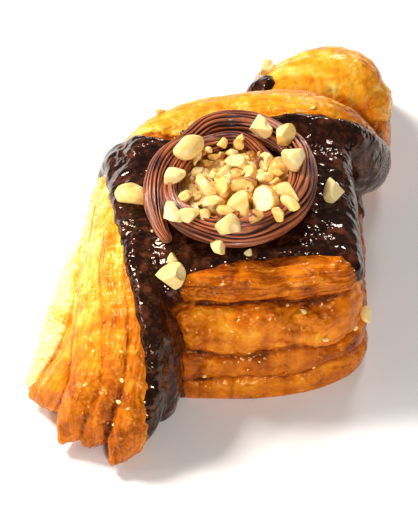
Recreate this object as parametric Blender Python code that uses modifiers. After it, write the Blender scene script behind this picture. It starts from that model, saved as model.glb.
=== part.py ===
"""A folded Danish pastry: laminated dough, chocolate spread, a piped chocolate ring and chopped hazelnuts.

Sizes below are in millimetres, and become metres when a mesh is made. +Z is up, +Y runs along the
pastry's longest side, and the origin is the middle of its flat base.
"""

import math

import bmesh
import bpy
from mathutils import Matrix, Vector, noise

MM = 0.001

# Driving dimensions
BLOCK_TOP = 32.5  # height of the dough block that the ring sits on
SPREAD_GAP = 0.5  # air left between the dough and the spread
SPREAD_THICKNESS = 1.2
REST_GAP = 0.4  # air left under the ring and the nuts
RING_MIDDLE = (6.2, -13.8)
RING_OUTER = 17.2  # radius of the outer turn's centre line
RING_INNER = 8.6
RING_TURNS = 2.05
RING_STRETCH = 1.09  # of the ring along its diagonal
ROPE_RADIUS = 4.1  # of the piped rope, at the tips of its ridges
ROPE_HEIGHT = 37.4  # height of the rope's centre line
ROPE_RIDGES = 8
FIELD_ROOF = 60.0
HEAP_SHIFT = (1.2, 1.0)  # of the heap's middle from the ring's
HEAP_RADIUS = 14.2
HEAP_DEPTH = 5.0  # half of the heap's height
HEAP_HEIGHT = 39.6  # height of the heap's widest place
HEAP_LUMPS = 0.1  # how far the lumps stand out, as a share of the radius
LUMP_FREQUENCY = 3.1
PASTRY_MIDDLE = (1.6, -3.0)  # what lies over the origin, in the coordinates used below

# Mesh fineness
STRAND_SIDES = 20
DOUGH_VOXEL = 1.2
SHELL_VOXEL = 0.8
RING_VOXEL = 0.6
DOUGH_TRIANGLES = 4200
SHELL_TRIANGLES = 3000
RING_TRIANGLES = 2000
HEAP_CUT_TRIANGLES = 700

# Colour, roughness and metallic value of each part
FINISHES = {
    "dough": ((0.62, 0.25, 0.04), 0.35, 0.0),
    "chocolate_spread": ((0.02, 0.008, 0.005), 0.2, 0.0),
    "chocolate_spread_back": ((0.02, 0.008, 0.005), 0.2, 0.0),
    "piped_ring": ((0.12, 0.035, 0.018), 0.45, 0.0),
    "nut_heap": ((0.8, 0.6, 0.32), 0.5, 0.0),
}

# Each strand of dough is a tapering roll: x, y, z of its middle, half width and half height.
FRONT_WING = {
    "bulge": [
        (-25.2, -7, 9, 5.5, 9), (-28.5, -20.5, 9, 7, 9), (-32, -32, 8, 6.5, 8), (-36.4, -40.5, 5.5, 4.7, 5.5),
        (-39, -44.5, 4, 3.4, 4),
    ],
    "tip_one": [
        (-21.5, 5, 15, 6.3, 9), (-23, -8, 15, 6.7, 9), (-23.8, -25, 14, 7, 10), (-24.6, -38, 13, 7, 9),
        (-28, -46, 9.5, 7, 8), (-34, -49.5, 6, 5.3, 6), (-40, -48.5, 3.5, 2, 2.5),
    ],
    "tip_two": [
        (-19.5, 5, 20, 6, 9), (-21, -8, 20, 6, 9), (-22.5, -22, 20, 6, 9), (-23, -35, 18, 7, 9),
        (-24, -45, 15, 7, 8.5), (-26.5, -54, 10, 6, 7.5), (-30.5, -59, 5.5, 4, 5), (-33, -61.5, 3, 1.2, 2),
    ],
    "tip_three": [
        (-16, 5, 22.5, 5, 8.5), (-18.5, -7, 23, 5.5, 8.5), (-20, -20, 23, 5.5, 8.5), (-20, -34, 22, 6, 8.5),
        (-19.5, -46, 17, 6.2, 8.5), (-21, -54, 11, 5.8, 7.5), (-24.5, -60, 6, 4.5, 5.5),
        (-27, -62.5, 3.5, 1.6, 2.5),
    ],
    "tip_four": [
        (-14, 5, 22.5, 5, 8.5), (-15.5, -7, 24, 5.5, 8.5), (-16, -20, 24, 6, 8.5), (-16, -34, 23, 6.5, 8.5),
        (-15, -46, 17.5, 6.5, 9), (-16, -55, 11, 5.5, 8), (-18.5, -63, 6, 4.2, 6), (-21.5, -68, 3, 1.2, 2),
    ],
    "spread_side": [
        (-9, 2, 22.5, 6, 8), (-11.5, -10, 23.5, 6, 8), (-12.5, -22, 23.5, 5.5, 8), (-13, -34, 21.5, 5, 8),
        (-12, -43, 16, 5, 8), (-11.5, -48, 10, 4.6, 7), (-12, -50.5, 4, 4, 5),
    ],
}
BACK_WING = {
    "ridge": [
        (-18, 8, 20, 6.5, 8), (-9, 12, 25, 8.5, 8.5), (5, 15, 27, 9, 9), (20, 14, 28, 10, 10),
        (28, 14, 25, 9.7, 9.7), (33, 15, 20, 8.5, 9), (36, 19, 14, 7.5, 8), (36.5, 22, 8, 6, 7),
    ],
    "lobe": [(15.5, 31, 18, 7, 11), (22, 35, 17.5, 11, 13), (31, 38, 17, 12.5, 14), (35.5, 36.5, 14, 9, 12.5)],
    "lobe_edge": [(33, 45, 8, 6, 8), (37, 40, 13, 7, 9), (39, 33, 11, 6, 9), (38, 25, 7, 6, 8)],
    "back_tip_one": [
        (-2, 20, 10, 7, 9), (3, 29, 9, 7, 8.5), (6, 38, 6, 6, 6.5), (7.5, 45, 4, 3.5, 4), (7, 49, 2.4, 1.2, 2),
    ],
    "back_tip_two": [
        (11, 24, 12, 7, 10), (14.5, 37, 12, 6.5, 10), (16.5, 48, 9, 6, 8.5), (19, 55, 5, 4, 5.5),
        (19.5, 59.5, 2.4, 1.2, 2),
    ],
    "back_tip_three": [
        (20, 26, 15, 8, 11), (23, 40, 15, 7.5, 12), (26, 51, 10, 6.5, 8.5), (30, 58, 5, 4, 5.5),
        (31.5, 62, 2.4, 1.2, 2),
    ],
    "back_tip_four": [
        (30, 30, 14, 8, 11), (33, 43, 13, 7, 11), (37, 51, 8, 5.5, 7.5), (40, 55.5, 4, 3, 4),
        (41.5, 58, 2.2, 1.2, 1.8),
    ],
}

# The block is a pile of layers: outline, lower and upper height, corner radius and edge bulge.
BLOCK_LAYERS = [
    ([(-10, -46.5), (12, -47), (27, -43.7), (37.2, -36), (37, 8), (30, 32), (8, 29), (-23, 14), (-25, -20)],
     -2, 5.5, 6, 3),
    ([(-10, -46), (12, -46.5), (27, -43), (36.8, -36), (37, 8), (30, 29), (8, 27), (-23, 12), (-24, -20)],
     3.5, 13.5, 6, 4),
    ([(-9, -45), (12, -46), (27, -43), (35.6, -36.5), (35, 6), (28, 27), (8, 25), (-22, 11), (-23, -20)],
     11, 24, 7, 5),
    ([(-8, -41), (8, -41), (24, -39.6), (34.5, -38), (32.5, 6), (28, 20), (8, 20), (-20, 10), (-21, -20)],
     22, BLOCK_TOP, 8, 5),
]

# Where chocolate is spread over the dough: outlines seen from above, and how far down each reaches.
SPREAD_FIELDS = {
    "wing": (
        [
            (-24.5, 3), (-24, -3), (-22.6, -12), (-20.8, -23), (-19, -32), (-17.3, -40), (-15, -50),
            (-13.5, -56), (-13.5, -64), (-6, -64), (-5.4, -47), (-8.4, -41), (-6.5, -37), (-2, -20), (-4, 3),
            (-10, 6), (-17, 8.5), (-22, 11), (-27, 10), (-26, 6),
        ],
        0.4,
    ),
    "top": (
        [
            (-9, -20), (-7, -39), (-4, -37), (1, -35.5), (8, -33.5), (22, -32), (31, -33.5), (39, -38),
            (39, 10.5), (36, 12.5), (33, 12), (29, 11), (17, 10), (5, 9), (-9, 6),
        ],
        26,
    ),
    "ridge_end": (
        [(30, 11.3), (34, 6), (38, 3.5), (46, 4), (46, 20), (42, 18), (39, 14.5), (36, 12.5)],
        8.5,
    ),
}
BACK_SPREAD_FIELDS = {
    "patch": ([(8, 34), (9, 28), (14, 26), (15.5, 31), (14, 36), (11.5, 40), (8.5, 39)], 12),
}


def catmull_rom(points, steps):
    """A smooth path through the points, with the given number of steps to each stretch."""
    before = tuple(2 * a - b for a, b in zip(points[0], points[1]))
    after = tuple(2 * a - b for a, b in zip(points[-1], points[-2]))
    knots = [before, *points, after]
    path = []
    for stretch in zip(knots, knots[1:], knots[2:], knots[3:]):
        for t in (step / steps for step in range(steps)):
            weights = (-t + 2 * t**2 - t**3, 2 - 5 * t**2 + 3 * t**3, t + 4 * t**2 - 3 * t**3, t**3 - t**2)
            path.append(tuple(0.5 * sum(w * v for w, v in zip(weights, values)) for values in zip(*stretch)))
    path.append(tuple(float(value) for value in points[-1]))
    return path


def rounded_ends(path, steps=4):
    """The path with stations added at both ends, where the section shrinks to a small round cap."""

    def cap(end, inner):
        ahead = (Vector(end[:3]) - Vector(inner[:3])).normalized()
        reach = min(end[3], end[4])
        for step in range(1, steps + 1):
            angle = 0.97 * 0.5 * math.pi * step / steps
            place = Vector(end[:3]) + ahead * reach * math.sin(angle)
            yield (*place, end[3] * math.cos(angle), end[4] * math.cos(angle))

    return [*reversed(list(cap(path[0], path[1]))), *path, *cap(path[-1], path[-2])]


def add_loop(bm, points):
    """Vertices around a loop of points given in millimetres."""
    return [bm.verts.new(Vector(point) * MM) for point in points]


def skin_loops(bm, loops):
    """Walls between neighbouring loops of equal count, and a face over the first and the last."""
    for loop, following in zip(loops, loops[1:]):
        around = zip(loop, loop[1:] + loop[:1], following[1:] + following[:1], following)
        for corners in around:
            bm.faces.new(corners)
    for loop in (loops[0], loops[-1]):
        bm.faces.new(loop)


def add_roll(bm, path, section):
    """A closed roll along the path, whose section gives (across, up) shares of the half width and height."""
    loops = []
    for index, station in enumerate(path):
        before, after = path[max(index - 1, 0)], path[min(index + 1, len(path) - 1)]
        ahead = (Vector(after[:3]) - Vector(before[:3])).normalized()
        side = ahead.cross(Vector((0, 0, 1))).normalized()
        up = side.cross(ahead)
        middle = Vector(station[:3])
        wide, tall = side * station[3], up * station[4]
        loops.append(add_loop(bm, [middle + wide * across + tall * rise for across, rise in section]))
    skin_loops(bm, loops)


def round_section(sides):
    return [(math.cos(2 * math.pi * k / sides), math.sin(2 * math.pi * k / sides)) for k in range(sides)]


def ridged_section(ridges, depth):
    """A star with the given number of ridges, from a star-shaped piping nozzle."""
    section = []
    for k, (across, up) in enumerate(round_section(2 * ridges)):
        share = 1 - depth * (k % 2)
        section.append((across * share, up * share))
    return section


def rounded_outline(corners, radius, steps=6):
    """Points and outward normals around an anticlockwise polygon whose corners are rounded arcs."""
    found = []
    around = zip(corners, corners[-1:] + corners[:-1], corners[1:] + corners[:1])
    for here, behind, beyond in ([Vector(corner) for corner in three] for three in around):
        back, ahead = (behind - here).normalized(), (beyond - here).normalized()
        half = 0.5 * back.angle(ahead)
        reach = min(radius / math.tan(half), 0.45 * min((behind - here).length, (beyond - here).length))
        middle = here + (back + ahead).normalized() * reach / math.cos(half)
        start = here + back * reach - middle
        for step in range(steps + 1):
            spoke = Matrix.Rotation((math.pi - 2 * half) * step / steps, 2) @ start
            found.append((middle + spoke, spoke.normalized()))
    return found


def add_layer(bm, corners, low, high, radius, bulge, steps=8):
    """A layer of dough with a pillowed edge between two heights."""
    outline = rounded_outline(corners, radius)
    loops = []
    for step in range(steps + 1):
        angle = math.pi * (step / steps - 0.5)
        inset = bulge * (1 - math.cos(angle))
        height = 0.5 * (low + high) + 0.5 * (high - low) * math.sin(angle)
        loops.append(add_loop(bm, [(*(place - normal * inset), height) for place, normal in outline]))
    skin_loops(bm, loops)


def new_object(name, bm, collection):
    bmesh.ops.recalc_face_normals(bm, faces=bm.faces)
    mesh = bpy.data.meshes.new(name)
    bm.to_mesh(mesh)
    bm.free()
    made = bpy.data.objects.new(name, mesh)
    collection.objects.link(made)
    return made


def settle(obj):
    """Applies an object's modifiers to its mesh."""
    graph = bpy.context.evaluated_depsgraph_get()
    mesh = bpy.data.meshes.new_from_object(obj.evaluated_get(graph))
    obj.modifiers.clear()
    obj.data = mesh
    return obj


def one_skin(obj, voxel):
    remesh = obj.modifiers.new("one_skin", "REMESH")
    remesh.mode = "VOXEL"
    remesh.voxel_size = voxel * MM
    return settle(obj)


def thin_out(obj, triangles):
    """Fewer triangles, with the shape kept."""
    now = sum(len(face.vertices) - 2 for face in obj.data.polygons)
    decimate = obj.modifiers.new("fewer", "DECIMATE")
    decimate.ratio = min(1.0, triangles / now)
    return settle(obj)


def soften(obj, rounds):
    smooth = obj.modifiers.new("soften", "SMOOTH")
    smooth.factor = 0.5
    smooth.iterations = rounds
    return settle(obj)


def boolean(obj, operation, other):
    join = obj.modifiers.new(operation.lower(), "BOOLEAN")
    join.operation = operation
    join.object = other
    return settle(obj)


def flat_base(obj):
    """Cuts off what is below the base and closes the cut."""
    bm = bmesh.new()
    bm.from_mesh(obj.data)
    everything = [*bm.verts, *bm.edges, *bm.faces]
    bmesh.ops.bisect_plane(bm, geom=everything, plane_co=(0, 0, 0), plane_no=(0, 0, 1), clear_inner=True)
    bmesh.ops.holes_fill(bm, edges=[edge for edge in bm.edges if edge.is_boundary])
    bm.to_mesh(obj.data)
    bm.free()


def swollen(source, name, distance, triangles, helpers):
    """A helper: the source grown outwards by a distance, on a coarser mesh."""
    made = source.copy()
    made.data = source.data.copy()
    made.name = name
    helpers.objects.link(made)
    made.hide_render = True
    made.display_type = "WIRE"
    grow = made.modifiers.new("grow", "DISPLACE")
    grow.strength = distance * MM
    grow.mid_level = 0.0
    settle(made)
    one_skin(made, SHELL_VOXEL)
    return thin_out(made, triangles)


def make_dough(collection):
    bm = bmesh.new()
    for stations in [*FRONT_WING.values(), *BACK_WING.values()]:
        add_roll(bm, rounded_ends(catmull_rom(stations, 6)), round_section(STRAND_SIDES))
    for layer in BLOCK_LAYERS:
        add_layer(bm, *layer)
    dough = one_skin(new_object("dough", bm, collection), DOUGH_VOXEL)
    soften(dough, 2)
    thin_out(dough, DOUGH_TRIANGLES)
    flat_base(dough)
    return dough


def make_fields(name, fields, helpers):
    """A helper: upright blocks over the fields, joined into one."""
    whole = None
    for outline, floor in fields.values():
        bm = bmesh.new()
        skin_loops(bm, [add_loop(bm, [(x, y, z) for x, y in outline]) for z in (floor, FIELD_ROOF)])
        field = new_object(name, bm, helpers)
        field.hide_render = True
        field.display_type = "WIRE"
        whole = boolean(whole, "UNION", field) if whole else field
    return whole


def make_spread(name, dough, fields, collection, helpers):
    """Chocolate spread over the dough, inside the fields."""
    spread = swollen(dough, name, SPREAD_GAP + SPREAD_THICKNESS, SHELL_TRIANGLES, helpers)
    inner = swollen(dough, name + "_inner", SPREAD_GAP, SHELL_TRIANGLES, helpers)
    boolean(spread, "INTERSECT", make_fields(name + "_field", fields, helpers))
    boolean(spread, "DIFFERENCE", inner)
    helpers.objects.unlink(spread)
    collection.objects.link(spread)
    spread.hide_render = False
    spread.display_type = "TEXTURED"
    return spread


def ring_path():
    """The piped rope's centre line, from its inner end to its outer end, with its half width and height."""
    steps = round(28 * RING_TURNS)
    path = []
    for step in range(steps + 1):
        share = step / steps
        angle = math.radians(-140) - 2 * math.pi * RING_TURNS * (1 - share)
        radius = RING_INNER + (RING_OUTER - RING_INNER) * min(1.0, share * 1.15)
        thickness = ROPE_RADIUS * (0.75 + 0.25 * min(1.0, 5 * share, 8 * (1 - share)))
        across, deep = radius * math.cos(angle), radius * math.sin(angle)
        stretch = 0.5 * (RING_STRETCH - 1) * (across + deep)
        place = (RING_MIDDLE[0] + across + stretch, RING_MIDDLE[1] + deep + stretch, ROPE_HEIGHT)
        path.append((*place, thickness, thickness))
    return path


def make_ring(collection):
    bm = bmesh.new()
    add_roll(bm, rounded_ends(ring_path(), 3), ridged_section(ROPE_RIDGES, 0.16))
    ring = one_skin(new_object("piped_ring", bm, collection), RING_VOXEL)
    return thin_out(ring, RING_TRIANGLES)


def make_heap(collection):
    bm = bmesh.new()
    bmesh.ops.create_icosphere(bm, subdivisions=3, radius=1.0)
    middle = Vector((RING_MIDDLE[0] + HEAP_SHIFT[0], RING_MIDDLE[1] + HEAP_SHIFT[1], HEAP_HEIGHT))
    size = Vector((HEAP_RADIUS, HEAP_RADIUS, HEAP_DEPTH))
    for vert in bm.verts:
        lump = 1 + HEAP_LUMPS * noise.noise(vert.co * LUMP_FREQUENCY)
        vert.co = (middle + vert.co * lump * size) * MM
    return new_object("nut_heap", bm, collection)


def finish(obj, colour, roughness, metallic):
    material = bpy.data.materials.new(obj.name)
    material.use_nodes = True
    shader = material.node_tree.nodes["Principled BSDF"]
    shader.inputs["Base Color"].default_value = (*colour, 1.0)
    shader.inputs["Roughness"].default_value = roughness
    shader.inputs["Metallic"].default_value = metallic
    obj.data.materials.append(material)


def main():
    for old in list(bpy.data.objects):
        bpy.data.objects.remove(old)
    collection = bpy.data.collections.new("danish_pastry")
    helpers = bpy.data.collections.new("cutters")
    for made in (collection, helpers):
        bpy.context.scene.collection.children.link(made)
    dough = make_dough(collection)
    make_spread("chocolate_spread", dough, SPREAD_FIELDS, collection, helpers)
    make_spread("chocolate_spread_back", dough, BACK_SPREAD_FIELDS, collection, helpers)
    ring = make_ring(collection)
    heap = make_heap(collection)
    bed = swollen(dough, "under_ring", SPREAD_GAP + SPREAD_THICKNESS + REST_GAP, SHELL_TRIANGLES, helpers)
    boolean(ring, "DIFFERENCE", bed)
    boolean(heap, "DIFFERENCE", bed)
    boolean(heap, "DIFFERENCE", swollen(ring, "around_ring", REST_GAP, HEAP_CUT_TRIANGLES, helpers))
    for part in collection.objects:
        part.data.transform(Matrix.Translation((-PASTRY_MIDDLE[0] * MM, -PASTRY_MIDDLE[1] * MM, 0)))
        part.data.shade_smooth()
        finish(part, *FINISHES[part.name])


main()
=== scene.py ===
"""The looks of a folded chocolate and hazelnut danish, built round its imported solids.

Lengths are in millimetres until a piece is finished, which places it in the frame in metres.
"""

import math
import random

import bmesh
import bpy
import numpy as np
from mathutils import Matrix, Vector, interpolate, noise
from mathutils.bvhtree import BVHTree


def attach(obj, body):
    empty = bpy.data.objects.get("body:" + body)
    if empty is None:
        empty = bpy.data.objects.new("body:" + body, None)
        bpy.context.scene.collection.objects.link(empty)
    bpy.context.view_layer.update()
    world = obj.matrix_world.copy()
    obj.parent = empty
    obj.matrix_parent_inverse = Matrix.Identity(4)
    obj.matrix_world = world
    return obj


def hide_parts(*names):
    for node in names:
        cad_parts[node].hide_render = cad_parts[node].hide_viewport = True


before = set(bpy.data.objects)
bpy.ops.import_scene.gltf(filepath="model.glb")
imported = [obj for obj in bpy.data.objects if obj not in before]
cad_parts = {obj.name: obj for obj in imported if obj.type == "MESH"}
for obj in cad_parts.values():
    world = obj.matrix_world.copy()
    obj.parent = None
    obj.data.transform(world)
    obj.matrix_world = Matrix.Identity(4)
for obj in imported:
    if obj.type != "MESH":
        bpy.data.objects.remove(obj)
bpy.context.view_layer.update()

MM = 0.001
UP = Vector((0, 0, 1))
PASTRY_MIDDLE = Vector((1.6, -3.0, 0.0))  # what lies over the frame's origin, in the coordinates below
TO_FRAME = Matrix.Scale(MM, 4) @ Matrix.Translation(-PASTRY_MIDDLE)

# Each roll of dough: x, y, z of its middle, half width and half height. How brown it is at its start and
# at its end, from 0 for pale to 1 for dark, partly painted light, is set in CHARACTER.
ROLLS = {
    "bulge": [
        (-25.2, -7, 9, 5.5, 9), (-28.5, -20.5, 9, 7, 9), (-32, -32, 8, 6.5, 8), (-36.4, -40.5, 5.5, 4.7, 5.5),
        (-39, -44.5, 4, 3.4, 4),
    ],
    "tip_one": [
        (-21.5, 5, 15, 6.3, 9), (-23, -8, 15, 6.7, 9), (-23.8, -25, 14, 7, 10), (-24.6, -38, 13, 7, 9),
        (-28, -46, 9.5, 7, 8), (-34, -49.5, 6, 5.3, 6), (-40, -48.5, 3.5, 2, 2.5),
    ],
    "tip_two": [
        (-19.5, 5, 20, 6, 9), (-21, -8, 20, 6, 9), (-22.5, -22, 20, 6, 9), (-23, -35, 18, 7, 9),
        (-24, -45, 15, 7, 8.5), (-26.5, -54, 10, 6, 7.5), (-30.5, -59, 5.5, 4, 5), (-33, -61.5, 3, 1.2, 2),
    ],
    "tip_three": [
        (-16, 5, 22.5, 5, 8.5), (-18.5, -7, 23, 5.5, 8.5), (-20, -20, 23, 5.5, 8.5), (-20, -34, 22, 6, 8.5),
        (-19.5, -46, 17, 6.2, 8.5), (-21, -54, 11, 5.8, 7.5), (-24.5, -60, 6, 4.5, 5.5),
        (-27, -62.5, 3.5, 1.6, 2.5),
    ],
    "tip_four": [
        (-14, 5, 22.5, 5, 8.5), (-15.5, -7, 24, 5.5, 8.5), (-16, -20, 24, 6, 8.5), (-16, -34, 23, 6.5, 8.5),
        (-15, -46, 17.5, 6.5, 9), (-16, -55, 11, 5.5, 8), (-18.5, -63, 6, 4.2, 6), (-21.5, -68, 3, 1.2, 2),
    ],
    "spread_side": [
        (-9, 2, 22.5, 6, 8), (-11.5, -10, 23.5, 6, 8), (-12.5, -22, 23.5, 5.5, 8), (-13, -34, 21.5, 5, 8),
        (-12, -43, 16, 5, 8), (-11.5, -48, 10, 4.6, 7), (-12, -50.5, 4, 4, 5),
    ],
    "ridge": [
        (-18, 8, 20, 6.5, 8), (-9, 12, 25, 8.5, 8.5), (5, 15, 27, 9, 9), (20, 14, 28, 10, 10),
        (28, 14, 25, 9.7, 9.7), (33, 15, 20, 8.5, 9), (36, 19, 14, 7.5, 8), (36.5, 22, 8, 6, 7),
    ],
    "lobe": [(15.5, 31, 18, 7, 11), (22, 35, 17.5, 11, 13), (31, 38, 17, 12.5, 14), (35.5, 36.5, 14, 9, 12.5)],
    "lobe_edge": [(33, 45, 8, 6, 8), (37, 40, 13, 7, 9), (39, 33, 11, 6, 9), (38, 25, 7, 6, 8)],
    "back_tip_one": [
        (-2, 20, 10, 7, 9), (3, 29, 9, 7, 8.5), (6, 38, 6, 6, 6.5), (7.5, 45, 4, 3.5, 4), (7, 49, 2.4, 1.2, 2),
    ],
    "back_tip_two": [
        (11, 24, 12, 7, 10), (14.5, 37, 12, 6.5, 10), (16.5, 48, 9, 6, 8.5), (19, 55, 5, 4, 5.5),
        (19.5, 59.5, 2.4, 1.2, 2),
    ],
    "back_tip_three": [
        (20, 26, 15, 8, 11), (23, 40, 15, 7.5, 12), (26, 51, 10, 6.5, 8.5), (30, 58, 5, 4, 5.5),
        (31.5, 62, 2.4, 1.2, 2),
    ],
    "back_tip_four": [
        (30, 30, 14, 8, 11), (33, 43, 13, 7, 11), (37, 51, 8, 5.5, 7.5), (40, 55.5, 4, 3, 4),
        (41.5, 58, 2.2, 1.2, 1.8),
    ],
}

# The block under the ring is a pile of layers: outline, lower and upper height, corner radius and edge bulge.
LAYERS = {
    "layer_one": (
        [(-10, -46.5), (12, -47), (27, -43.7), (37.2, -36), (37, 8), (30, 32), (8, 29), (-23, 14), (-25, -20)],
        -2, 5.5, 6, 3,
    ),
    "layer_two": (
        [(-10, -46), (12, -46.5), (27, -43), (36.8, -36), (37, 8), (30, 29), (8, 27), (-23, 12), (-24, -20)],
        3.5, 13.5, 6, 4,
    ),
    "layer_three": (
        [(-9, -45), (12, -46), (27, -43), (35.6, -36.5), (35, 6), (28, 27), (8, 25), (-22, 11), (-23, -20)],
        11, 24, 7, 5,
    ),
    "layer_four": (
        [(-8, -41), (8, -41), (24, -39.6), (34.5, -38), (32.5, 6), (28, 20), (8, 20), (-20, 10), (-21, -20)],
        22, 32.5, 8, 5,
    ),
}

# How each part of the dough looks: brownness at its start and end, partly painted light (the front wing's
# left strands paler where the light falls from the left, the block's layers darker where their front faces
# away from it), height of its pleats, depth of its thin leaves and height of its blisters in millimetres,
# and how streaky it is from 0 to 1.
CHARACTER = {
    # The wing's strands grow paler towards its left: partly the crust's own colour, partly painted light from
    # the left.
    "bulge": (0.10, -0.14, 0.2, 0.02, 0.28, 0.15),
    "tip_one": (0.06, 0.44, 0.35, 0.08, 0.18, 0.6),
    "tip_two": (0.12, 0.50, 0.35, 0.10, 0.20, 0.6),
    "tip_three": (0.24, 0.56, 0.35, 0.10, 0.22, 0.6),
    "tip_four": (0.42, 0.58, 0.35, 0.10, 0.22, 0.6),
    "spread_side": (0.5, 0.65, 0.3, 0.08, 0.2, 0.6),
    "ridge": (0.24, 0.60, 0.2, 0.06, 0.10, 0.6),
    "lobe": (0.26, 0.44, 0.45, 0.0, 0.04, 0.05),
    "lobe_edge": (0.56, 0.56, 0.2, 0.03, 0.12, 0.2),
    "back_tip_one": (0.3, 0.58, 0.35, 0.10, 0.20, 0.7),
    "back_tip_two": (0.3, 0.58, 0.35, 0.10, 0.20, 0.7),
    "back_tip_three": (0.3, 0.58, 0.35, 0.10, 0.20, 0.7),
    "back_tip_four": (0.3, 0.58, 0.35, 0.10, 0.20, 0.7),
    # The block's layers are dark partly as the crust's own amber, partly as painted shade on the front that
    # faces away from the light.
    "layer_one": (0.54, 0.54, 0.25, 0.06, 0.35, 0.4),
    "layer_two": (0.66, 0.66, 0.25, 0.03, 0.55, 0.3),
    "layer_three": (0.54, 0.54, 0.25, 0.02, 0.55, 0.25),
    "layer_four": (0.62, 0.62, 0.35, 0.12, 0.15, 0.9),
}
NAMES = list(CHARACTER)

# Chocolate spread: outline seen from above, and how far down it reaches.
SPREAD_FIELDS = [
    (
        [
            (-24.5, 3), (-24, -3), (-22.6, -12), (-20.8, -23), (-19, -32), (-17.3, -40), (-15, -50),
            (-13.5, -56), (-13.5, -64), (-6, -64), (-5.4, -47), (-8.4, -41), (-6.5, -37), (-2, -20),
            (-4, 3), (-10, 6), (-17, 8.5), (-22, 11), (-27, 10), (-26, 6),
        ],
        0.4,
    ),
    (
        [
            (-9, -20), (-7, -39), (-4, -37), (1, -35.5), (8, -33.5), (22, -32), (31, -33.5), (39, -38),
            (39, 10.5), (36, 12.5), (33, 12), (29, 11), (17, 10), (5, 9), (-9, 6),
        ],
        26,
    ),
    ([(30, 11.3), (34, 6), (38, 3.5), (46, 4), (46, 20), (42, 18), (39, 14.5), (36, 12.5)], 8.5),
]
BACK_SPREAD_FIELDS = [([(8, 34), (9, 28), (14, 26), (15.5, 31), (14, 36), (11.5, 40), (8.5, 39)], 12)]

# Piped rope: angle round the ring's middle in degrees, distance from it, half width, half height, height.
RING_MIDDLE = Vector((5.9, -12.9, 0))
RING = [
    (50, 11.4, 2.2, 2.4, 35.6), (90, 13.4, 2.3, 2.8, 37.0), (135, 12.2, 2.3, 3.1, 37.8),
    (180, 14.2, 2.4, 3.1, 37.8), (225, 16.9, 2.8, 3.2, 37.4), (270, 17.0, 3.3, 3.4, 37.2),
    (315, 16.0, 3.4, 3.6, 37.4), (360, 15.6, 3.4, 3.7, 37.8), (405, 17.3, 3.2, 3.6, 37.8),
    (440, 19.2, 2.9, 3.4, 37.4), (470, 18.6, 2.8, 3.3, 37.2), (495, 16.8, 2.7, 3.3, 37.0),
    (540, 18.3, 2.6, 3.2, 36.8), (563, 19.6, 2.3, 2.8, 35.6), (585, 21.8, 1.3, 1.5, 34.0),
]
ROPE_RIDGES = 17

# Chopped nuts: x, y, length, width, turn in degrees, and how toasted from 0 to 1. Those in the heap lie on
# its core, those on the ring on the rope, and the loose ones on the pastry. These three tables aren't a
# pattern to copy: most of their x and y, and the starting values of many sizes, were computed by a
# program. A function that scatters the nuts over the heap and the ring should take their place.
HEAP_NUTS = [
    (-7.9, -15.4, 5.7, 3.8, 25, 0.0), (-3.8, -16.5, 4.2, 2.6, 95, 0.2), (-0.7, -16.3, 7.2, 4.4, 110, 0.1),
    (3.2, -16.7, 6.4, 3.8, 115, 0.4), (6.2, -9.6, 5.0, 4.2, 30, 0.1), (16.2, -9.4, 5.4, 4.6, 40, 0.3),
    (11.2, -9.0, 4.0, 2.8, 60, 0.8), (9.1, -12.5, 4.2, 3.8, 120, 0.4), (12.7, -13.5, 4.4, 3.4, 45, 0.1),
    (19.2, -11.1, 6.8, 6.0, 60, 0.0), (7.7, -16.6, 6.6, 4.8, 15, 0.5), (7.0, -23.3, 8.4, 6.0, 70, 0.3),
    (13.0, -22.3, 9.0, 6.4, 100, 0.3), (15.8, -17.9, 5.8, 4.6, 20, 0.4), (18.1, -20.9, 6.4, 3.6, -45, 0.2),
    (18.2, -24.3, 5.6, 2.6, -50, 0.3), (1.1, -21.5, 5.6, 4.0, 10, 0.1), (-5.4, -21.1, 4.0, 3.2, 30, 0.3),
    (-8.5, -26.4, 7.4, 4.2, 105, 0.0), (-4.3, -28.0, 5.2, 3.2, 20, 0.1), (-1.1, -27.3, 3.6, 2.8, 60, 0.2),
    (3.6, -27.0, 5.0, 3.6, 150, 0.6), (0.7, -22.4, 3.0, 2.4, 30, 1.0), (2.2, -25.0, 4.2, 2.8, 20, 1.0),
    (6.2, -26.4, 3.0, 2.2, 80, 1.0), (10.4, -28.2, 4.2, 3.2, 20, 0.7), (15.4, -27.6, 4.0, 3.0, 80, 0.5),
]
RING_NUTS = [
    (-4.6, -7.3, 7.6, 5.4, 50, 0.1), (4.1, -3.7, 3.6, 2.6, 20, 0.1), (1.6, -4.8, 2.0, 1.6, 0, 0.2),
    (11.8, 1.3, 6.2, 4.8, 110, 0.0), (17.5, -2.2, 5.4, 4.0, 45, 0.4), (4.5, -31.9, 5.6, 4.8, 30, 0.1),
]
LOOSE_NUTS = [
    (-17.8, -15.6, 8.2, 7.0, 150, 0.2), (-8.5, -39.6, 8.0, 6.4, 60, 0.1), (-8.1, -34.6, 3.6, 2.4, 80, 0.1),
    (28.7, -13.6, 6.6, 4.8, 80, 0.0), (8.8, -32.4, 2.0, 1.6, 10, 0.0), (-11.7, 17.0, 2.8, 2.2, 60, 0.1),
    (14.4, 40.0, 4.2, 3.2, 60, 0.0), (24.5, 12.3, 1.6, 1.2, 0, 0.5),
]

# Nuts that cling to a steep place, with their height after x and y: the block's side and the ring's front.
STUCK_NUTS = [(36.0, -34.0, 14.2, 4.2, 2.8, 100, 0.1), (2.2, -33.2, 35.2, 5.2, 3.2, 105, 0.1)]

# Nut crumbs stuck to the front: x, how high they show from in front and above (y + z), and size.
CRUMBS = [
    (-1.0, -38.4, 1.3), (17.6, -15.5, 1.2), (21.2, -17.5, 1.8), (26.4, -26.6, 1.6), (33.6, -23.2, 1.4),
    (-19.5, -30.0, 1.1), (-19.3, -39.0, 1.2), (-20.0, -45.8, 1.4), (-17.9, -47.8, 0.9), (-21.2, -52.9, 1.1),
    (-12.9, 8.0, 0.9), (9.0, -31.0, 0.8), (24.0, -36.0, 0.9),
]

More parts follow.
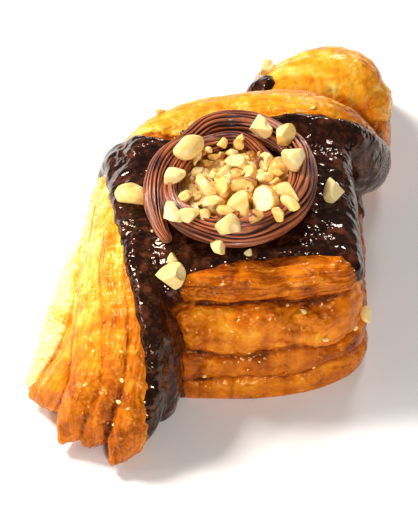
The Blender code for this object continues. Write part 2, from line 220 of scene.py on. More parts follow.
FILLING_COUNT = 120  # small broken pieces between the large ones in the heap
FILLING_REACH = 12.0
CORE_HALF_SIZE = (13.4, 13.2, 4.0)
CORE_MIDDLE = RING_MIDDLE + Vector((0.4, 0.2, 34.7))

SKIN_VOXEL = 0.52
COAT_VOXEL = 0.42
COAT_THICKNESS = 1.05
COAT_EDGE = 0.9  # how far the coat's edge dives under the dough
COAT_INNER_WALL = 1.2
CRUST_TRIANGLES = 198000

# Browning scale of the crust, which also carries the painted shade in its creases, shade scales of the
# chocolates, the milk one running from painted shade in the piped grooves to painted highlights on the
# ridges, and toasting scale of the nuts: where on the scale from 0 to 1, and the colour there.
CRUST_TONES = [
    (0.0, (0.96, 0.76, 0.36)), (0.15, (0.97, 0.61, 0.09)), (0.32, (0.93, 0.39, 0.018)),
    (0.50, (0.79, 0.215, 0.006)), (0.69, (0.52, 0.11, 0.003)), (0.87, (0.24, 0.038, 0.003)),
    (1.0, (0.08, 0.013, 0.002)),
]
DARK_CHOCOLATE_TONES = [
    (0.36, (0.006, 0.0016, 0.001)), (0.52, (0.024, 0.006, 0.003)), (0.68, (0.12, 0.030, 0.012)),
]
MILK_CHOCOLATE_TONES = [
    (0.1, (0.032, 0.007, 0.003)), (0.45, (0.21, 0.046, 0.016)), (0.85, (0.50, 0.140, 0.045)),
]
NUT_TONES = [
    (0.0, (0.96, 0.77, 0.37)), (0.3, (0.94, 0.63, 0.18)), (0.6, (0.70, 0.31, 0.045)),
    (1.0, (0.24, 0.06, 0.014)),
]

# Softboxes: place, size, power and colour. All point at the pastry.
SOFTBOXES = {
    "key": ((-320, 160, 420), 120, 3.7, (1.0, 0.95, 0.88)),
    "side": ((-420, -60, 260), 160, 0.5, (1.0, 0.93, 0.88)),
    "back": ((130, 420, 250), 90, 0.7, (1.0, 1.0, 1.0)),
    "front": ((60, -440, 260), 50, 1.2, (1.0, 0.97, 0.93)),
}


def quick_or(fine):
    return fine


# ---------------------------------------------------------------- shapes


def catmull_rom(points, steps):
    """A smooth path through the points, with the given number of steps to each stretch."""
    knots = np.array([2 * np.array(points[0]) - points[1], *points, 2 * np.array(points[-1]) - points[-2]])
    path = []
    for a, b, c, d in zip(knots, knots[1:], knots[2:], knots[3:]):
        squared, cubed = 2 * a - 5 * b + 4 * c - d, 3 * b - a - 3 * c + d
        for t in np.arange(steps) / steps:
            path.append(0.5 * (2 * b + (c - a) * t + squared * t**2 + cubed * t**3))
    return [*path, np.array(points[-1], float)]


def rounded_ends(path, steps=4):
    """The path with stations added at both ends, where the section shrinks to a small round cap."""

    def cap(end, inner):
        ahead = (Vector(end[:3]) - Vector(inner[:3])).normalized()
        for step in range(1, steps + 1):
            angle = 0.97 * 0.5 * math.pi * step / steps
            place = Vector(end[:3]) + ahead * min(end[3], end[4]) * math.sin(angle)
            yield (*place, end[3] * math.cos(angle), end[4] * math.cos(angle))

    return [*reversed(list(cap(path[0], path[1]))), *path, *cap(path[-1], path[-2])]


def loft(bm, path, sides, flow, number, section=None, twist=0.0):
    """A roll along the path, from circles that are placed, scaled and bridged. Its flow layer holds
    the distance along, the distance around and the roll's number, or its ridge where it has a section."""
    travelled, before = 0.0, None
    for index, station in enumerate(path):
        middle = Vector(station[:3])
        behind, beyond = Vector(path[max(index - 1, 0)][:3]), Vector(path[min(index + 1, len(path) - 1)][:3])
        ahead = (beyond - behind).normalized()
        side = ahead.cross(UP).normalized()
        travelled += (middle - behind).length
        place = Matrix((side * station[3], side.cross(ahead) * station[4], ahead)).transposed().to_4x4()
        place.translation = middle
        turned = place @ Matrix.Rotation(-0.5 * math.pi, 4, "Z")
        at_end = index in (0, len(path) - 1)
        circle = bmesh.ops.create_circle(bm, segments=sides, radius=1, cap_ends=at_end, matrix=turned)
        for k, vert in enumerate(circle["verts"]):
            if section:
                share = section(2 * math.pi * k / sides + twist * travelled, travelled)
                vert.co = middle + (vert.co - middle) * share
                number = share
            around = math.pi * (station[3] + station[4]) * k / sides
            vert[flow] = Vector((travelled, around, number))
        edges = list({edge for vert in circle["verts"] for edge in vert.link_edges})
        if before:
            bmesh.ops.bridge_loops(bm, edges=before + edges)
        before = edges


def pile_layer(bm, corners, low, high, radius, bulge, flow, number, steps=12):
    """A slab with rounded corners and a pillowed edge, whose outline is extruded upwards from its foot."""
    middle, half = 0.5 * (low + high), 0.5 * (high - low)
    part = bmesh.new()
    across = part.verts.layers.float_vector.new("flow")
    part.faces.new([part.verts.new((x, y, low)) for x, y in corners])
    bmesh.ops.bevel(
        part, geom=part.verts[:], offset=radius, segments=6, profile=0.5, affect="VERTICES", material=-1,
        clamp_overlap=True,
    )
    bmesh.ops.remove_doubles(part, verts=part.verts, dist=0.2)
    start = [loop.vert for loop in part.faces[:][0].loops]
    outline = [vert.co.to_2d() for vert in start]
    inwards = []
    for before, after in zip([outline[-1], *outline[:-1]], [*outline[1:], outline[0]]):
        inwards.append(Vector((before.y - after.y, after.x - before.x)).normalized())
    loop, travelled = start, 0.0
    for step in range(steps + 1):
        angle = math.pi * (step / steps - 0.5)
        travelled += 0.5 * (half + bulge) * math.pi / steps
        if step:
            edges = [edge for edge in part.edges if edge.verts[0] in loop and edge.verts[1] in loop]
            made = bmesh.ops.extrude_edge_only(part, edges=edges)["geom"]
            grown = [item for item in made if isinstance(item, bmesh.types.BMVert)]
            loop = [min(grown, key=lambda vert, old=old: (vert.co - old.co).length) for old in loop]
        for vert, place, inward in zip(loop, outline, inwards):
            vert.co.xy = place + inward * bulge * (1 - math.cos(angle))
            vert.co.z = middle + half * math.sin(angle)
            vert[across] = Vector((35 * math.atan2(place.y + 8, place.x - 6), travelled, number))
    bmesh.ops.contextual_create(part, geom=loop)
    bmesh.ops.recalc_face_normals(part, faces=part.faces)
    mesh = as_mesh("layer", part)
    bm.from_mesh(mesh)
    bpy.data.meshes.remove(mesh)


def link(name, mesh):
    obj = bpy.data.objects.new(name, mesh)
    bpy.context.scene.collection.objects.link(obj)
    return obj


def as_mesh(name, bm):
    mesh = bpy.data.meshes.new(name)
    bm.to_mesh(mesh)
    bm.free()
    return mesh


def one_skin(mesh, voxel, rounds):
    """The outer skin of overlapping closed shapes, as one closed mesh."""
    obj = link("skin", mesh)
    remesh = obj.modifiers.new("skin", "REMESH")
    remesh.mode = "VOXEL"
    remesh.voxel_size = voxel
    soften = obj.modifiers.new("soften", "SMOOTH")
    soften.iterations = rounds
    graph = bpy.context.evaluated_depsgraph_get()
    made = bpy.data.meshes.new_from_object(obj.evaluated_get(graph))
    bpy.data.objects.remove(obj)
    return made


def points_of(mesh):
    found = np.empty(len(mesh.vertices) * 3, np.float32)
    mesh.vertices.foreach_get("co", found)
    return found.reshape(-1, 3).astype(float)


def normals_of(mesh):
    found = np.empty(len(mesh.vertices) * 3, np.float32)
    mesh.vertex_normals.foreach_get("vector", found)
    return found.reshape(-1, 3).astype(float)


def move_points(mesh, points):
    mesh.vertices.foreach_set("co", points.astype(np.float32).ravel())
    mesh.update()


def keep(mesh, name, values):
    """Stores one number for each vertex, for the materials."""
    layer = mesh.attributes.new(name, "FLOAT", "POINT")
    layer.data.foreach_set("value", np.asarray(values, np.float32))


def keep_vector(mesh, name, values):
    layer = mesh.attributes.new(name, "FLOAT_VECTOR", "POINT")
    layer.data.foreach_set("vector", np.asarray(values, np.float32).ravel())


def wave(points, size, seed=0.0):
    """Smooth noise between -1 and 1, whose lumps are about as large as size, which may differ by axis."""
    scaled = points / np.asarray(size, float) + seed
    return np.array([noise.noise(point) for point in scaled])


def smoothstep(low, high, value):
    t = np.clip((value - low) / (high - low), 0, 1)
    return t * t * (3 - 2 * t)


def relaxed(mesh, rounds):
    """Points of the mesh after smoothing, which show what is a crease and what stands out."""
    bm = bmesh.new()
    bm.from_mesh(mesh)
    for _ in range(rounds):
        bmesh.ops.smooth_vert(bm, verts=bm.verts, factor=1.0, use_axis_x=True, use_axis_y=True, use_axis_z=True)
    found = np.array([vert.co for vert in bm.verts])
    bm.free()
    return found


def finish_piece(name, mesh, material):
    mesh.name = name
    mesh.transform(TO_FRAME)
    mesh.materials.clear()
    mesh.materials.append(material)
    mesh.shade_smooth()
    return link(name, mesh)


# ---------------------------------------------------------------- dough


def dough_shapes():
    """The rolls and layers as overlapping closed shapes, with their flow."""
    bm = bmesh.new()
    flow = bm.verts.layers.float_vector.new("flow")
    for name, stations in ROLLS.items():
        loft(bm, rounded_ends(catmull_rom(stations, 6)), 28, flow, NAMES.index(name))
    for name, layer in LAYERS.items():
        pile_layer(bm, *layer, flow, NAMES.index(name))
    bmesh.ops.recalc_face_normals(bm, faces=bm.faces)
    return bm


def carried_flow(shapes, points):
    """The flow of the nearest place on the shapes, for each point."""
    flow = shapes.verts.layers.float_vector["flow"]
    shapes.faces.ensure_lookup_table()
    tree = BVHTree.FromBMesh(shapes)
    found = np.empty((len(points), 3))
    for index, point in enumerate(points):
        place, _, face, _ = tree.find_nearest(point)
        corners = shapes.faces[face].verts
        weights = interpolate.poly_3d_calc([corner.co for corner in corners], place)
        carried = (corner[flow] * weight for corner, weight in zip(corners, weights))
        found[index] = sum(carried, Vector((0, 0, 0)))
        found[index][2] = corners[0][flow].z
    return found


def make_skin():
    """The plain outer skin of the dough, with its flow: cut flat on the ground, its layers made wavy and the
    front wing's grooves softened where the folds begin."""
    shapes = dough_shapes()
    mesh = one_skin(as_mesh("shapes", shapes.copy()), quick_or(SKIN_VOXEL), 5)
    bm = bmesh.new()
    bm.from_mesh(mesh)
    everything = [*bm.verts, *bm.edges, *bm.faces]
    bmesh.ops.bisect_plane(bm, geom=everything, plane_co=(0, 0, 0), plane_no=UP, clear_inner=True)
    bmesh.ops.holes_fill(bm, edges=[edge for edge in bm.edges if edge.is_boundary])
    bm.to_mesh(mesh)
    bm.free()
    points = points_of(mesh)
    flow = carried_flow(shapes, points)
    shapes.free()
    layered = flow[:, 2] >= NAMES.index("layer_one")
    sides = smoothstep(0.5, 5, points[:, 2]) * (1 - smoothstep(25, 31, points[:, 2]))
    points[:, 2] += 3.2 * wave(points, (13.0, 13.0, 9.0), 4.7) * sides * layered
    move_points(mesh, points)
    wing = (flow[:, 2] >= NAMES.index("tip_one")) & (flow[:, 2] <= NAMES.index("spread_side"))
    softened = 0.85 * smoothstep(-57, -40, points[:, 1]) * smoothstep(4, -6, points[:, 1]) * wing
    points += (relaxed(mesh, 40) - points) * softened[:, None]
    points[:, 2] = np.maximum(points[:, 2], 0)
    move_points(mesh, points)
    return mesh, flow


def grooves(noise_values, width):
    """Narrow bands along the lines where smooth noise passes through zero: 1 in a groove, 0 away from it."""
    return np.exp(-((noise_values / width) ** 2))


def make_dough(skin, flow):
    """The crust: the skin with its pleats, leaf edges, blisters and creases, and how brown each place is, with
    painted shade darkening its creases and the dips between its pleats, whose tops are painted paler.
    """
    mesh = skin.copy()
    points, normals = points_of(mesh), normals_of(mesh)
    number = flow[:, 2].astype(int)
    start, end, pleats, leaves, blisters, streaky = np.array([CHARACTER[name] for name in NAMES])[number].T
    longest = np.array([flow[number == k, 0].max() if (number == k).any() else 1 for k in range(len(NAMES))])
    share = np.clip(flow[:, 0] / longest[number], 0, 1)
    share[number >= NAMES.index("layer_one")] = 0.5
    warp = 1.5 * wave(points, 10.0, 3.1) + 0.5 * wave(points, 4.0, 8.8)
    seeds = np.stack([flow[:, 0], flow[:, 1] + warp, number * 17.0], 1)
    pleat = wave(seeds, (24, 2.8, 1)) + 0.4 * wave(seeds, (13, 1.6, 1), 5.2)
    leaf = grooves(wave(seeds, (18, 1.9, 1), 9.1), 0.16) + 0.7 * grooves(wave(seeds, (12, 1.2, 1), 2.1), 0.18)
    blister = wave(points, 3.2, 3.3) + 0.6 * wave(points, 1.7, 7.7)
    swell = wave(points, 12.0, 1.1)
    creased = np.einsum("ij,ij->i", relaxed(mesh, 14) - points, normals)
    standing = smoothstep(0.0, 1.2, points[:, 2])
    lift = pleats * pleat - 2.6 * leaves * leaf + blisters * blister + 0.45 * swell
    lift -= 0.8 * np.clip(creased, 0, 1)
    move_points(mesh, points + normals * (lift * standing)[:, None])
    browning_and_shade = start + (end - start) * smoothstep(0.25, 1.0, share)
    browning_and_shade += 0.10 * wave(points, 9.0, 2.2) + 0.08 * wave(seeds, (20, 2.4, 1), 4.4)
    browning_and_shade += 0.07 * wave(points, 5.0, 6.2) * (1 - streaky)
    # Painted shade: creases darkened, and pleat dips darker than pleat tops; the thin leaf lines are the
    # crust's own brown.
    browning_and_shade += 0.75 * np.clip(creased, 0, 0.6) + 0.10 * leaf * streaky - 0.12 * pleat * pleats
    keep(mesh, "browning_and_shade", browning_and_shade)
    keep(mesh, "streaky", streaky)
    keep_vector(mesh, "flow", seeds)
    return thinned(mesh, CRUST_TRIANGLES)


def thinned(mesh, most):
    """The mesh with its triangles merged where it is flattest, down to the given number."""
    mesh.calc_loop_triangles()
    count = len(mesh.loop_triangles)
    if count <= most:
        return mesh
    obj = link("thinned", mesh)
    fewer = obj.modifiers.new("fewer", "DECIMATE")
    fewer.ratio = most / count
    graph = bpy.context.evaluated_depsgraph_get()
    made = bpy.data.meshes.new_from_object(obj.evaluated_get(graph))
    bpy.data.objects.remove(obj)
    return made


# ---------------------------------------------------------------- chocolate


def inside_outline(points, outline):
    """Distance from each point to the outline's edge, seen from above: positive inside it."""
    corners = np.array(outline, float)
    nearest = np.full(len(points), np.inf)
    crossings = np.zeros(len(points), int)
    for a, b in zip(corners, np.roll(corners, -1, axis=0)):
        along = np.clip(((points[:, :2] - a) @ (b - a)) / ((b - a) @ (b - a)), 0, 1)
        nearest = np.minimum(nearest, np.linalg.norm(points[:, :2] - a - along[:, None] * (b - a), axis=1))
        spans = (a[1] > points[:, 1]) != (b[1] > points[:, 1])
        reach = a[0] + (points[:, 1] - a[1]) * (b[0] - a[0]) / (b[1] - a[1] if b[1] != a[1] else 1)
        crossings += spans & (points[:, 0] < reach)
    return np.where(crossings % 2 == 1, nearest, -nearest)


def cover(points, fields):
    """How far inside the nearest field each point is, in millimetres."""
    found = np.full(len(points), -np.inf)
    for outline, floor in fields:
        smooth = [tuple(p) for p in catmull_rom([outline[-1], *outline, outline[0]], 4)[4:-5]]
        found = np.maximum(found, np.minimum(inside_outline(points, smooth), points[:, 2] - floor))
    return found


def make_coat(skin, fields, name):
    """A coat of spread over the skin: a sheet whose edge dives under the dough, thickened and remeshed."""
    points, normals = points_of(skin), normals_of(skin)
    depth = cover(points, fields) + 0.5 * wave(points, 2.8, 6.1)
    lift = -COAT_EDGE + (COAT_THICKNESS + COAT_EDGE) * np.sqrt(np.clip((depth + 0.5) / 1.6, 0, 1))
    bm = bmesh.new()
    bm.from_mesh(skin)
    bm.verts.ensure_lookup_table()
    for vert, normal, height in zip(bm.verts, normals, lift):
        vert.co += Vector(normal) * height
    outside = [vert for vert, reach in zip(bm.verts, depth) if reach < -COAT_EDGE]
    bmesh.ops.delete(bm, geom=outside, context="VERTS")
    inner = bmesh.ops.extrude_face_region(bm, geom=bm.faces[:], use_keep_orig=True)["geom"]
    bm.normal_update()
    for vert in [item for item in inner if isinstance(item, bmesh.types.BMVert)]:
        vert.co -= vert.normal * COAT_INNER_WALL
    bmesh.ops.recalc_face_normals(bm, faces=bm.faces)
    mesh = one_skin(as_mesh(name, bm), quick_or(COAT_VOXEL), 3)
    points, normals = points_of(mesh), normals_of(mesh)
    lumps = 0.34 * wave(points, 4.6, 2.0) + 0.14 * wave(points, 2.3, 8.0)
    points += normals * lumps[:, None]
    points[:, 2] = np.maximum(points[:, 2], 0.05)
    move_points(mesh, points)
    return mesh


def rope_path():
    path = []
    for degrees, reach, wide, tall, height in catmull_rom(RING, 14):
        angle = math.radians(degrees)
        wander = 0.6 * noise.noise(Vector((degrees / 40, 0, 0)))
        place = RING_MIDDLE + Vector((math.cos(angle), math.sin(angle), 0)) * (reach + wander)
        path.append((place.x, place.y, height + wander, wide, tall))
    return path


def rope_section(angle, travelled):
    """How far out the rope's surface is at this angle: rounded ridges with narrow grooves of uneven depth."""
    around = angle + 0.22 * noise.noise(Vector((travelled / 9, 2 * math.cos(angle), 2 * math.sin(angle))))
    groove = abs(math.sin(0.5 * ROPE_RIDGES * around))
    ring = Vector((travelled / 14, 3.2 * math.cos(around), 3.2 * math.sin(around)))
    nicks = noise.noise(Vector((travelled / 2.5, 5 * math.cos(angle), 9)))
    depth = 0.18 + 0.2 * noise.noise(ring) + 0.05 * nicks
    swell = 0.08 * noise.noise(Vector((travelled / 7.0, 1.5 * math.cos(angle), 1.5 * math.sin(angle))))
    return 0.98 + swell - depth * (1 - min(1.0, groove * 1.25)) + 0.11 * noise.noise(ring * 1.7)


def make_rope():
    bm = bmesh.new()
    flow = bm.verts.layers.float_vector.new("flow")
    loft(bm, rounded_ends(rope_path(), 3), ROPE_RIDGES * 8, flow, 0, rope_section, twist=0.006)
    bmesh.ops.recalc_face_normals(bm, faces=bm.faces)
    return as_mesh("rope", bm)


# ---------------------------------------------------------------- nuts


def add_nut(bm, place, length, width, turn, toast, seed):
    """One chopped piece: a round kernel with broken facets and a hollow, turned and put in its place."""
    chance = random.Random(seed)
    made = bmesh.ops.create_icosphere(bm, subdivisions=4 if length > 3 else 3, radius=1)["verts"]
    toasted = bm.verts.layers.float["toast"]
    facets = []
    for _ in range(chance.randint(4, 6)):
        facing = Vector([chance.gauss(0, 1) for _ in range(3)]).normalized()
        facets.append((facing, chance.uniform(0.35, 0.7)))
    hollow = Vector((chance.uniform(-0.6, 0.6), -1.0, 0.9)).normalized() * 1.25
    hollow_size = chance.uniform(0.35, 0.7)
    shift = Vector((seed * 3.7, 0, 0))
    for vert in made:
        spot = vert.co.copy()
        for facing, reach in facets:
            over = vert.co.dot(facing) - reach
            if over > 0:
                vert.co -= facing * over * 0.93
        inwards = vert.co - hollow
        if inwards.length < hollow_size:
            vert.co = hollow + inwards.normalized() * hollow_size
        broken = (spot - vert.co).length
        vert.co *= 1 + 0.06 * noise.noise(spot * 2.3 + shift) + 0.02 * noise.noise(spot * 7 + shift)
        patch = abs(noise.noise(spot * 1.7 + shift))
        vert[toasted] = min(1, toast * (0.6 + 0.8 * (broken < 0.05)) + 0.25 * patch)
    bmesh.ops.smooth_vert(bm, verts=made, factor=0.5, use_axis_x=True, use_axis_y=True, use_axis_z=True)
    low, high = (Vector([pick(vert.co[k] for vert in made) for k in range(3)]) for pick in (min, max))
    bmesh.ops.translate(bm, verts=made, vec=-0.5 * (low + high))
    tall = chance.uniform(0.75, 1.0) * width
    fit = [size / span for size, span in zip((length, width, tall), high - low)]
    tilt = Matrix.Rotation(chance.uniform(-0.35, 0.35), 4, "X")
    tilt @= Matrix.Rotation(chance.uniform(-0.3, 0.3), 4, "Y")
    where = Matrix.Translation(place + UP * 0.34 * tall) @ Matrix.Rotation(math.radians(turn), 4, "Z") @ tilt
    bmesh.ops.transform(bm, matrix=where @ Matrix.Diagonal((*fit, 1)), verts=made)


def ground_of(*meshes):
    """What a nut can lie on."""
    bm = bmesh.new()
    for mesh in meshes:
        bm.from_mesh(mesh)
    tree = BVHTree.FromBMesh(bm)
    bm.free()
    return tree


def make_nuts(rows, ground, first_seed, sink):
    """A joined mesh of chopped pieces, each set down on what is under it."""
    bm = bmesh.new()
    bm.verts.layers.float.new("toast")
    for seed, (x, y, length, width, turn, toast) in enumerate(rows, first_seed):
        middle, foot = Vector((x, y, 80)), 0.3 * width
        spots = [middle + Vector((*step, 0)) * foot for step in ((0, 0), (1, 0), (-1, 0), (0, 1), (0, -1))]
        under = max((ground.ray_cast(spot, -UP)[0] or Vector()).z for spot in spots)
        add_nut(bm, Vector((x, y, under - sink)), length, width, turn, toast, seed)
    bmesh.ops.recalc_face_normals(bm, faces=bm.faces)
    return as_mesh("nuts", bm)


def filling(chance):
    """Small broken pieces spread over the middle of the ring, between the large ones."""
    rows = []
    for _ in range(FILLING_COUNT):
        angle, reach = chance.uniform(0, 2 * math.pi), FILLING_REACH * math.sqrt(chance.random())
        length = chance.uniform(1.6, 4.2)
        toast = chance.choice((0.1, 0.2, 0.4, 0.6, 0.9))
        place = RING_MIDDLE + Vector((1.3 + reach * math.cos(angle), 0.4 + reach * math.sin(angle), 0))
        width, turn = length * chance.uniform(0.55, 0.9), chance.uniform(0, 360)
        rows.append((place.x, place.y, length, width, turn, toast))
    return rows


def make_stuck_nuts():
    bm = bmesh.new()
    bm.verts.layers.float.new("toast")
    for seed, (x, y, z, *shape) in enumerate(STUCK_NUTS, 140):
        add_nut(bm, Vector((x, y, z)), *shape, seed)
    return as_mesh("stuck_nuts", bm)


def make_crumbs(ground):
    bm = bmesh.new()
    bm.verts.layers.float.new("toast")
    for seed, (x, shown, size) in enumerate(CRUMBS, 200):
        start, forwards = Vector((x, 0.5 * shown - 200, 0.5 * shown + 200)), Vector((0, 1, -1)).normalized()
        spot = ground.ray_cast(start, forwards)[0]
        add_nut(bm, spot - forwards * 0.1 * size - UP * 0.3 * size, size, 0.75 * size, 40 * seed, 0.1, seed)
    return as_mesh("crumbs", bm)


def make_core():
    """The fine nut crumbs that fill the middle of the ring, as one lumpy mound."""
    bm = bmesh.new()
    made = bmesh.ops.create_icosphere(bm, subdivisions=6, radius=1)["verts"]
    bmesh.ops.scale(bm, vec=CORE_HALF_SIZE, verts=made)
    bmesh.ops.translate(bm, vec=CORE_MIDDLE, verts=made)
    mesh = as_mesh("core", bm)
    points, normals = points_of(mesh), normals_of(mesh)
    lumps = 0.6 * wave(points, 3.2, 1.0) + 0.5 * np.abs(wave(points, 1.5, 2.0))
    move_points(mesh, points + normals * lumps[:, None])
    keep(mesh, "toast", np.clip(0.5 + 0.6 * wave(points, 2.2, 4.0), 0, 1))
    return mesh


# ---------------------------------------------------------------- materials


class Recipe:
    """A material's node tree, with short calls for the nodes that the finishes share."""

    def __init__(self, name):
        self.material = bpy.data.materials.new(name)
        self.material.use_nodes = True
        self.tree = self.material.node_tree
        self.shader = self.tree.nodes["Principled BSDF"]
        place = self.node("ShaderNodeTexCoord").outputs["Object"]
        self.place = self.node("ShaderNodeMapping", Vector=place, Scale=(1 / MM,) * 3).outputs["Vector"]

    def node(self, kind, settings=None, **inputs):
        made = self.tree.nodes.new(kind)
        for key, value in (settings or {}).items():
            setattr(made, key, value)
        for key, value in inputs.items():
            self.feed(made.inputs[key.replace("_", " ")], value)
        return made

    def feed(self, socket, value):
        if isinstance(value, bpy.types.NodeSocket):
            self.tree.links.new(value, socket)
        else:
            socket.default_value = value

    def attribute(self, name, output="Fac"):
        return self.node("ShaderNodeAttribute", {"attribute_name": name}).outputs[output]

    def mottle(self, size, detail=4.0, rough=0.55, where=None):
        """Noise whose lumps are about as large as size, in millimetres."""
        where = where or self.place
        made = self.node("ShaderNodeTexNoise", Vector=where, Scale=1 / size, Detail=detail, Roughness=rough)
        return made.outputs["Fac"]

    def contours(self, source, width):
        """Thin lines where noise passes through its middle value: 1 on the line, 0 beyond the width."""
        away = self.maths("ABSOLUTE", self.maths("SUBTRACT", source, 0.5))
        return self.maths("SUBTRACT", 1.0, self.maths("DIVIDE", away, width, clamp=True))

    def window(self, source, low, high):
        """0 below low, 1 above high."""
        return self.node("ShaderNodeMapRange", Value=source, From_Min=low, From_Max=high).outputs["Result"]

    def stretched(self, source, scale):
        return self.node("ShaderNodeMapping", Vector=source, Scale=scale).outputs["Vector"]

    def sum(self, first, second, factor=1.0, offset=0.0):
        """first + (second + offset) * factor"""
        shifted = self.maths("ADD", second, offset) if offset else second
        return self.maths("MULTIPLY_ADD", shifted, factor, first)

    def maths(self, operation, *values, clamp=False):
        made = self.node("ShaderNodeMath", {"operation": operation, "use_clamp": clamp})
        for socket, value in zip(made.inputs, values):
            self.feed(socket, value)
        return made.outputs[0]

    def times(self, product, *others):
        for other in others:
            product = self.maths("MULTIPLY", product, other)
        return product

    def ramp(self, source, stops):
        """The colour, or with one number the grey, that the stops give along the source."""
        made = self.node("ShaderNodeValToRGB", Fac=source)
        elements = made.color_ramp.elements
        while len(elements) < len(stops):
            elements.new(0.5)
        for element, (position, colour) in zip(elements, stops):
            element.position = position
            element.color = (*colour, 1) if len(colour) == 3 else (colour[0],) * 3 + (1,)
        return made.outputs["Color"]

    def bump(self, height, distance, strength=1.0, below=None):
        """Adds relief, in millimetres, on top of an earlier bump."""
        inputs = {"Height": height, "Distance": distance * MM, "Strength": strength}
        if below:
            inputs["Normal"] = below
        return self.node("ShaderNodeBump", **inputs).outputs["Normal"]

    def set(self, **inputs):
        for key, value in inputs.items():
            self.feed(self.shader.inputs[key.replace("_", " ")], value)
        return self.material


def crust():
    """Glazed pastry crust: pale where it puffed, amber where it baked longest, with thin brown leaf edges, and
    the painted shade in its creases and pleat dips that the dough's stored colour value carries.
    """
    r = Recipe("glazed_crust")
    flow = r.attribute("flow", "Vector")
    streaky, stored_browning_and_shade = r.attribute("streaky"), r.attribute("browning_and_shade")
    plain = r.maths("SUBTRACT", 1.0, streaky)
    streaks = r.mottle(1.0, 4, 0.6, r.stretched(flow, (0.055, 0.55, 1)))
    fine = r.mottle(1.0, 3, 0.6, r.stretched(flow, (0.12, 1.5, 1)))
    across = r.mottle(1.0, 2, 0.5, r.stretched(flow, (0.38, 0.09, 1)))
    threads = r.contours(r.mottle(1.0, 2, 0.5, r.stretched(flow, (0.09, 0.75, 1))), 0.035)
    blotch, speck = r.mottle(5.0, 4), r.mottle(1.3, 3, 0.6)
    squiggles = r.times(
        r.contours(r.mottle(2.2, 2, 0.5), 0.03), r.window(r.mottle(3.3, 2), 0.47, 0.55),
        r.window(stored_browning_and_shade, 0.34, 0.14), r.window(streaky, 0.05, 0.14),
    )
    browning_and_shade = stored_browning_and_shade
    for source, amount, share in ((streaks, streaky, 0.6), (fine, streaky, 0.3), (across, plain, 0.6)):
        browning_and_shade = r.sum(browning_and_shade, r.times(amount, r.maths("SUBTRACT", source, 0.5)), share)
    for source, share in ((blotch, 0.78), (speck, 0.16)):
        browning_and_shade = r.sum(browning_and_shade, source, share, -0.5)
    browning_and_shade = r.sum(r.sum(browning_and_shade, r.times(streaky, threads), 0.12), squiggles, 0.45)
    relief = r.bump(r.mottle(2.4, 1, 0.5), 1.2, 0.55)
    relief = r.bump(r.times(streaky, streaks), 0.9, 0.6, relief)
    relief = r.bump(r.times(streaky, fine), 0.4, 0.6, relief)
    relief = r.bump(speck, 0.25, 0.5, relief)
    wrinkled = r.times(r.window(r.mottle(6.0, 1), 0.47, 0.60), r.window(stored_browning_and_shade, 0.34, 0.52))
    relief = r.bump(r.times(wrinkled, r.mottle(1.5, 1, 0.4)), 1.3, 0.9, relief)
    return r.set(
        Base_Color=r.ramp(browning_and_shade, CRUST_TONES), Normal=relief,
        Roughness=r.ramp(r.mottle(4.0, 3), [(0.4, (0.09,)), (0.62, (0.3,))]),
        Specular_IOR_Level=0.42, Specular_Tint=(1.0, 0.72, 0.32, 1),
        Subsurface_Weight=0.06, Subsurface_Radius=(1.0, 0.4, 0.1), Subsurface_Scale=0.8 * MM,
    )


def dark_chocolate():
    """Glossy spread, nearly black, with redder mottles and some places more wrinkled than others."""
    r = Recipe("dark_chocolate_spread")
    patches = r.window(r.mottle(7.0, 1), 0.42, 0.62)
    relief = r.bump(r.mottle(3.2, 1, 0.4), 1.2, 0.6)
    relief = r.bump(r.times(patches, r.mottle(1.2, 1, 0.4)), 0.6, 0.8, relief)
    return r.set(
        Base_Color=r.ramp(r.mottle(2.6, 5, 0.6), DARK_CHOCOLATE_TONES), Roughness=0.1, Normal=relief,
        Specular_IOR_Level=0.5, Specular_Tint=(1.0, 0.68, 0.52, 1),
    )


def milk_chocolate():
    """Piped cream, with painted shade in its grooves and painted highlights on its ridges."""
    r = Recipe("piped_chocolate_cream")
    flow = r.attribute("flow", "Vector")
    # Painted light: the ridge mask makes the grooves darker and the ridge tops lighter.
    ridge = r.window(r.node("ShaderNodeSeparateXYZ", Vector=flow).outputs["Z"], 0.84, 1.04)
    threads = r.mottle(1.0, 4, 0.6, r.stretched(flow, (0.1, 1.6, 0)))
    tone = r.sum(r.sum(ridge, threads, 0.6, -0.5), r.mottle(3.0, 4), 0.5, -0.5)
    relief = r.bump(threads, 0.5, 0.7)
    relief = r.bump(r.mottle(0.7, 4, 0.6), 0.15, 0.6, relief)
    return r.set(
        Base_Color=r.ramp(tone, MILK_CHOCOLATE_TONES), Roughness=0.34, Normal=relief,
        Coat_Weight=0.2, Coat_Roughness=0.15,
    )


def hazelnut():
    """Nut flesh, cream where it is raw and brown where it is toasted or keeps its skin."""
    r = Recipe("chopped_hazelnut")
    toast = r.sum(r.attribute("toast"), r.mottle(2.0, 4), 0.5, -0.5)
    relief = r.bump(r.mottle(0.9, 4, 0.6), 0.16, 0.6)
    return r.set(
        Base_Color=r.ramp(toast, NUT_TONES), Roughness=0.42, Normal=relief, Subsurface_Weight=0.2,
        Subsurface_Radius=(1.0, 0.6, 0.25), Subsurface_Scale=1.2 * MM, Coat_Weight=0.1, Coat_Roughness=0.3,
    )


# ---------------------------------------------------------------- set


def make_camera():
    away, elevation, aim = 620.0, math.radians(45), Vector((0.0, -8.0, 8.0))
    seen_height = 512 / 4.2  # millimetres of the object from the view's foot to its top
    back = Vector((0, -math.cos(elevation), math.sin(elevation)))
    data = bpy.data.cameras.new("camera")
    data.sensor_width = 36
    data.lens = data.sensor_width * away / seen_height
    data.clip_start = 0.01
    camera = bpy.data.objects.new("camera", data)
    bpy.context.scene.collection.objects.link(camera)
    camera.location = TO_FRAME @ (aim + back * away)
    camera.rotation_euler = (-back).to_track_quat("-Z", "Y").to_euler()
    bpy.context.scene.camera = camera


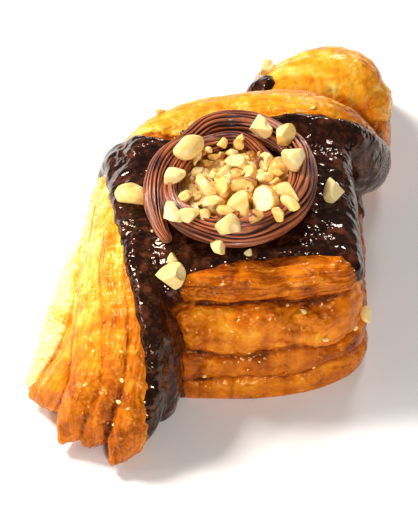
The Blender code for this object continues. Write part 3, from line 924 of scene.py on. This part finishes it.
def add_softbox(name, place, size, power, colour):
    data = bpy.data.lights.new(name, "AREA")
    data.size = size * MM
    data.energy = power
    data.color = colour
    lamp = bpy.data.objects.new(name, data)
    bpy.context.scene.collection.objects.link(lamp)
    lamp.location = Vector(place) * MM
    lamp.rotation_euler = (Vector((0, 0, 15)) * MM - lamp.location).to_track_quat("-Z", "Y").to_euler()


def make_set():
    bm = bmesh.new()
    bmesh.ops.create_grid(bm, x_segments=2, y_segments=2, size=3.0)
    floor = link("floor", as_mesh("floor", bm))
    r = Recipe("pale_floor")
    finish = r.set(Base_Color=(0.94, 0.94, 0.94, 1), Roughness=0.9, Specular_IOR_Level=0.1)
    floor.data.materials.append(finish)
    world = bpy.data.worlds.new("studio")
    world.use_nodes = True
    sky = world.node_tree.nodes["Background"]
    sky.inputs["Color"].default_value = (1.0, 0.98, 0.95, 1)
    sky.inputs["Strength"].default_value = 0.17
    bpy.context.scene.world = world
    for name, box in SOFTBOXES.items():
        add_softbox(name, *box)
    bpy.context.scene.view_settings.view_transform = "Standard"


# ---------------------------------------------------------------- the pastry

make_camera()
make_set()

skin, skin_flow = make_skin()
dough_mesh = make_dough(skin, skin_flow)
coat_mesh = make_coat(skin, SPREAD_FIELDS, "coat")
back_coat_mesh = make_coat(skin, BACK_SPREAD_FIELDS, "back_coat")
rope_mesh = make_rope()
core_mesh = make_core()

heap_ground = ground_of(core_mesh, rope_mesh, coat_mesh)
whole_ground = ground_of(dough_mesh, coat_mesh, rope_mesh)
pastry_ground = ground_of(dough_mesh, coat_mesh)
heap_nuts_mesh = make_nuts(HEAP_NUTS + filling(random.Random(7)), heap_ground, 10, sink=0.6)
ring_nuts_mesh = make_nuts(RING_NUTS, whole_ground, 60, sink=0.3)
loose_nuts_mesh = make_nuts(LOOSE_NUTS, pastry_ground, 90, sink=0.5)
stuck_nuts_mesh = make_stuck_nuts()
crumbs_mesh = make_crumbs(pastry_ground)

nut_finish = hazelnut()
chocolate_finish = dark_chocolate()
pieces = [
    (finish_piece("crust", dough_mesh, crust()), "dough", ["dough"]),
    (finish_piece("spread", coat_mesh, chocolate_finish), "chocolate", ["chocolate_spread"]),
    (finish_piece("spread_back", back_coat_mesh, chocolate_finish), "chocolate", ["chocolate_spread_back"]),
    (finish_piece("rope", rope_mesh, milk_chocolate()), "piped_chocolate", ["piped_ring"]),
    (finish_piece("heap_core", core_mesh, nut_finish), "nuts", ["nut_heap"]),
    (finish_piece("heap_nuts", heap_nuts_mesh, nut_finish), "nuts", ["nut_heap"]),
    (finish_piece("ring_nuts", ring_nuts_mesh, nut_finish), "nuts", []),
    (finish_piece("loose_nuts", loose_nuts_mesh, nut_finish), "nuts", []),
    (finish_piece("stuck_nuts", stuck_nuts_mesh, nut_finish), "nuts", []),
    (finish_piece("crumbs", crumbs_mesh, nut_finish), "nuts", []),
]
bpy.data.meshes.remove(skin)
for piece, slot, nodes in pieces:
    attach(piece, "root")
    if nodes:
        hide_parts(*nodes)
